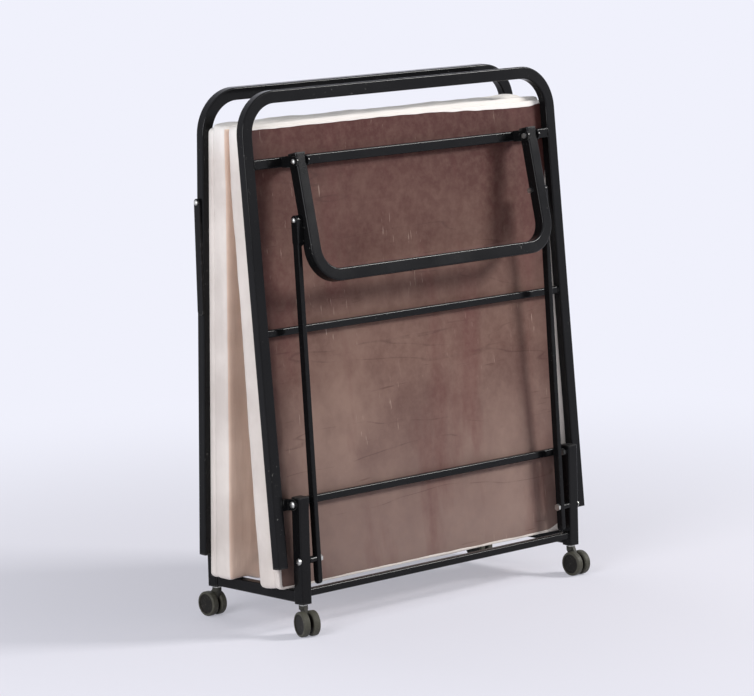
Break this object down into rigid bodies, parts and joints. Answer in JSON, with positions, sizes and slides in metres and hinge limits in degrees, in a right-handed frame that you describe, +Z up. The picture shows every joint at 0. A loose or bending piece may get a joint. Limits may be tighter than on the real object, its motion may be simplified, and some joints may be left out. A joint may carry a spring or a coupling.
{
  "type": "folding cot",
  "caption": "Folding cot stored upright: padded bed halves on bent tube frames hinge up from a low wheeled base, with U legs that fold in on link bars.",
  "frame": {"origin": "on the floor, midway between the four caster stems", "axes": "+X across the cot to the right seen from the front, +Y towards the rear bed half, +Z up"},
  "size_m": [0.8596, 0.3464, 1.0578],
  "materials": {
    "frame_black": "satin",
    "board_brown": "satin",
    "pad_white": "matte",
    "bright_zinc": "satin",
    "plug_black": "matte",
    "caster_grey": "satin"
  },
  "bodies": {
    "base": {"side_bar_left": "frame_black", "side_bar_right": "frame_black", "front_bar": "frame_black", "rear_bar": "frame_black", "post_caps": "plug_black", "caster_sockets": "plug_black", "hinge_bolts": "bright_zinc", "link_bolts": "bright_zinc", "link_spacers": "frame_black", "front_left_post": "frame_black", "front_right_post": "frame_black", "rear_left_post": "frame_black", "rear_right_post": "frame_black"},
    "front_frame": {"front_rail": "frame_black", "front_rail_plugs": "plug_black", "front_upper_crossbar": "frame_black", "front_middle_crossbar": "frame_black", "front_lower_crossbar": "frame_black", "front_hinge_brackets": "frame_black", "front_leg_brackets": "frame_black", "front_frame_bolts": "bright_zinc"},
    "front_mattress": {"front_board": "board_brown", "front_pad": "pad_white"},
    "front_legs": {"front_leg": "frame_black", "front_leg_plugs": "plug_black", "front_leg_link_bolts": "bright_zinc"},
    "front_left_link": {"front_left_link": "frame_black"},
    "front_right_link": {"front_right_link": "frame_black"},
    "rear_frame": {"rear_rail": "frame_black", "rear_rail_plugs": "plug_black", "rear_upper_crossbar": "frame_black", "rear_middle_crossbar": "frame_black", "rear_lower_crossbar": "frame_black", "rear_hinge_brackets": "frame_black", "rear_leg_brackets": "frame_black", "rear_frame_bolts": "bright_zinc"},
    "rear_mattress": {"rear_board": "board_brown", "rear_pad": "pad_white"},
    "rear_legs": {"rear_leg": "frame_black", "rear_leg_plugs": "plug_black", "rear_leg_link_bolts": "bright_zinc"},
    "rear_left_link": {"rear_left_link": "frame_black"},
    "rear_right_link": {"rear_right_link": "frame_black"},
    "rear_catch": {"rear_catch": "frame_black"},
    "front_left_caster": {"front_left_caster_housing": "caster_grey", "front_left_caster_pins": "bright_zinc"},
    "front_left_caster_wheel_left": {"front_left_caster_wheel_left": "caster_grey"},
    "front_left_caster_wheel_right": {"front_left_caster_wheel_right": "caster_grey"},
    "front_right_caster": {"front_right_caster_housing": "caster_grey", "front_right_caster_pins": "bright_zinc"},
    "front_right_caster_wheel_left": {"front_right_caster_wheel_left": "caster_grey"},
    "front_right_caster_wheel_right": {"front_right_caster_wheel_right": "caster_grey"},
    "rear_left_caster": {"rear_left_caster_housing": "caster_grey", "rear_left_caster_pins": "bright_zinc"},
    "rear_left_caster_wheel_left": {"rear_left_caster_wheel_left": "caster_grey"},
    "rear_left_caster_wheel_right": {"rear_left_caster_wheel_right": "caster_grey"},
    "rear_right_caster": {"rear_right_caster_housing": "caster_grey", "rear_right_caster_pins": "bright_zinc"},
    "rear_right_caster_wheel_left": {"rear_right_caster_wheel_left": "caster_grey"},
    "rear_right_caster_wheel_right": {"rear_right_caster_wheel_right": "caster_grey"}
  },
  "joints": [
    {"name": "front_fold", "type": "hinge", "parent": "base", "child": "front_frame", "pos_m": [0, -0.127, 0.2593], "axis": [1, 0, 0], "range_deg": [0, 94.5]},
    {"name": "front_mattress_slide", "type": "slide", "parent": "front_frame", "child": "front_mattress", "axis": [0, 0.0785, 0.9969], "range_m": [0, 0.03938]},
    {"name": "front_leg_fold", "type": "hinge", "parent": "front_frame", "child": "front_legs", "pos_m": [0, -0.09516, 0.91883], "axis": [1, 0, 0], "range_deg": [-94.5, 0]},
    {"name": "front_left_link_swing", "type": "hinge", "parent": "base", "child": "front_left_link", "pos_m": [-0.338, -0.136, 0.1473], "axis": [1, 0, 0], "range_deg": [0, 94.5]},
    {"name": "front_right_link_swing", "type": "hinge", "parent": "base", "child": "front_right_link", "pos_m": [0.338, -0.136, 0.1473], "axis": [1, 0, 0], "range_deg": [0, 94.5]},
    {"name": "rear_fold", "type": "hinge", "parent": "base", "child": "rear_frame", "pos_m": [0, 0.127, 0.2593], "axis": [-1, 0, 0], "range_deg": [0, 92.5]},
    {"name": "rear_mattress_slide", "type": "slide", "parent": "rear_frame", "child": "rear_mattress", "axis": [0, -0.0436, 0.999], "range_m": [0, 0.04172]},
    {"name": "rear_leg_fold", "type": "hinge", "parent": "rear_frame", "child": "rear_legs", "pos_m": [0, 0.11819, 0.91954], "axis": [-1, 0, 0], "range_deg": [-92.5, 0]},
    {"name": "rear_left_link_swing", "type": "hinge", "parent": "base", "child": "rear_left_link", "pos_m": [-0.338, 0.136, 0.1473], "axis": [-1, 0, 0], "range_deg": [0, 92.5]},
    {"name": "rear_right_link_swing", "type": "hinge", "parent": "base", "child": "rear_right_link", "pos_m": [0.338, 0.136, 0.1473], "axis": [-1, 0, 0], "range_deg": [0, 92.5]},
    {"name": "rear_catch_swing", "type": "hinge", "parent": "rear_frame", "child": "rear_catch", "pos_m": [-0.4278, 0.08172, 0.83788], "axis": [-1, 0, 0], "range_deg": [0, 90]},
    {"name": "front_left_caster_swivel", "type": "hinge", "parent": "base", "child": "front_left_caster", "pos_m": [-0.372, -0.13, 0.062], "axis": [0, 0, 1], "continuous": true},
    {"name": "front_left_caster_wheel_left_spin", "type": "hinge", "parent": "front_left_caster", "child": "front_left_caster_wheel_left", "pos_m": [-0.38651, -0.14164, 0.025], "axis": [0.9659, -0.2588, 0], "continuous": true},
    {"name": "front_left_caster_wheel_right_spin", "type": "hinge", "parent": "front_left_caster", "child": "front_left_caster_wheel_right", "pos_m": [-0.36526, -0.14734, 0.025], "axis": [0.9659, -0.2588, 0], "continuous": true},
    {"name": "front_right_caster_swivel", "type": "hinge", "parent": "base", "child": "front_right_caster", "pos_m": [0.372, -0.13, 0.062], "axis": [0, 0, 1], "continuous": true},
    {"name": "front_right_caster_wheel_left_spin", "type": "hinge", "parent": "front_right_caster", "child": "front_right_caster_wheel_left", "pos_m": [0.361, -0.145, 0.025], "axis": [1, 0, 0], "continuous": true},
    {"name": "front_right_caster_wheel_right_spin", "type": "hinge", "parent": "front_right_caster", "child": "front_right_caster_wheel_right", "pos_m": [0.383, -0.145, 0.025], "axis": [1, 0, 0], "continuous": true},
    {"name": "rear_left_caster_swivel", "type": "hinge", "parent": "base", "child": "rear_left_caster", "pos_m": [-0.372, 0.13, 0.062], "axis": [0, 0, 1], "continuous": true},
    {"name": "rear_left_caster_wheel_left_spin", "type": "hinge", "parent": "rear_left_caster", "child": "rear_left_caster_wheel_left", "pos_m": [-0.383, 0.145, 0.025], "axis": [1, 0, 0], "continuous": true},
    {"name": "rear_left_caster_wheel_right_spin", "type": "hinge", "parent": "rear_left_caster", "child": "rear_left_caster_wheel_right", "pos_m": [-0.361, 0.145, 0.025], "axis": [1, 0, 0], "continuous": true},
    {"name": "rear_right_caster_swivel", "type": "hinge", "parent": "base", "child": "rear_right_caster", "pos_m": [0.372, 0.13, 0.062], "axis": [0, 0, 1], "continuous": true},
    {"name": "rear_right_caster_wheel_left_spin", "type": "hinge", "parent": "rear_right_caster", "child": "rear_right_caster_wheel_left", "pos_m": [0.361, 0.145, 0.025], "axis": [1, 0, 0], "continuous": true},
    {"name": "rear_right_caster_wheel_right_spin", "type": "hinge", "parent": "rear_right_caster", "child": "rear_right_caster_wheel_right", "pos_m": [0.383, 0.145, 0.025], "axis": [1, 0, 0], "continuous": true}
  ],
  "couplings": [
    {"joint": "front_mattress_slide", "follows": "front_fold", "m_per_rad": 0.023876},
    {"joint": "front_leg_fold", "follows": "front_fold", "ratio": -1},
    {"joint": "front_left_link_swing", "follows": "front_fold", "ratio": 1},
    {"joint": "front_right_link_swing", "follows": "front_fold", "ratio": 1},
    {"joint": "rear_mattress_slide", "follows": "rear_fold", "m_per_rad": 0.025841},
    {"joint": "rear_leg_fold", "follows": "rear_fold", "ratio": -1},
    {"joint": "rear_left_link_swing", "follows": "rear_fold", "ratio": 1},
    {"joint": "rear_right_link_swing", "follows": "rear_fold", "ratio": 1}
  ]
}
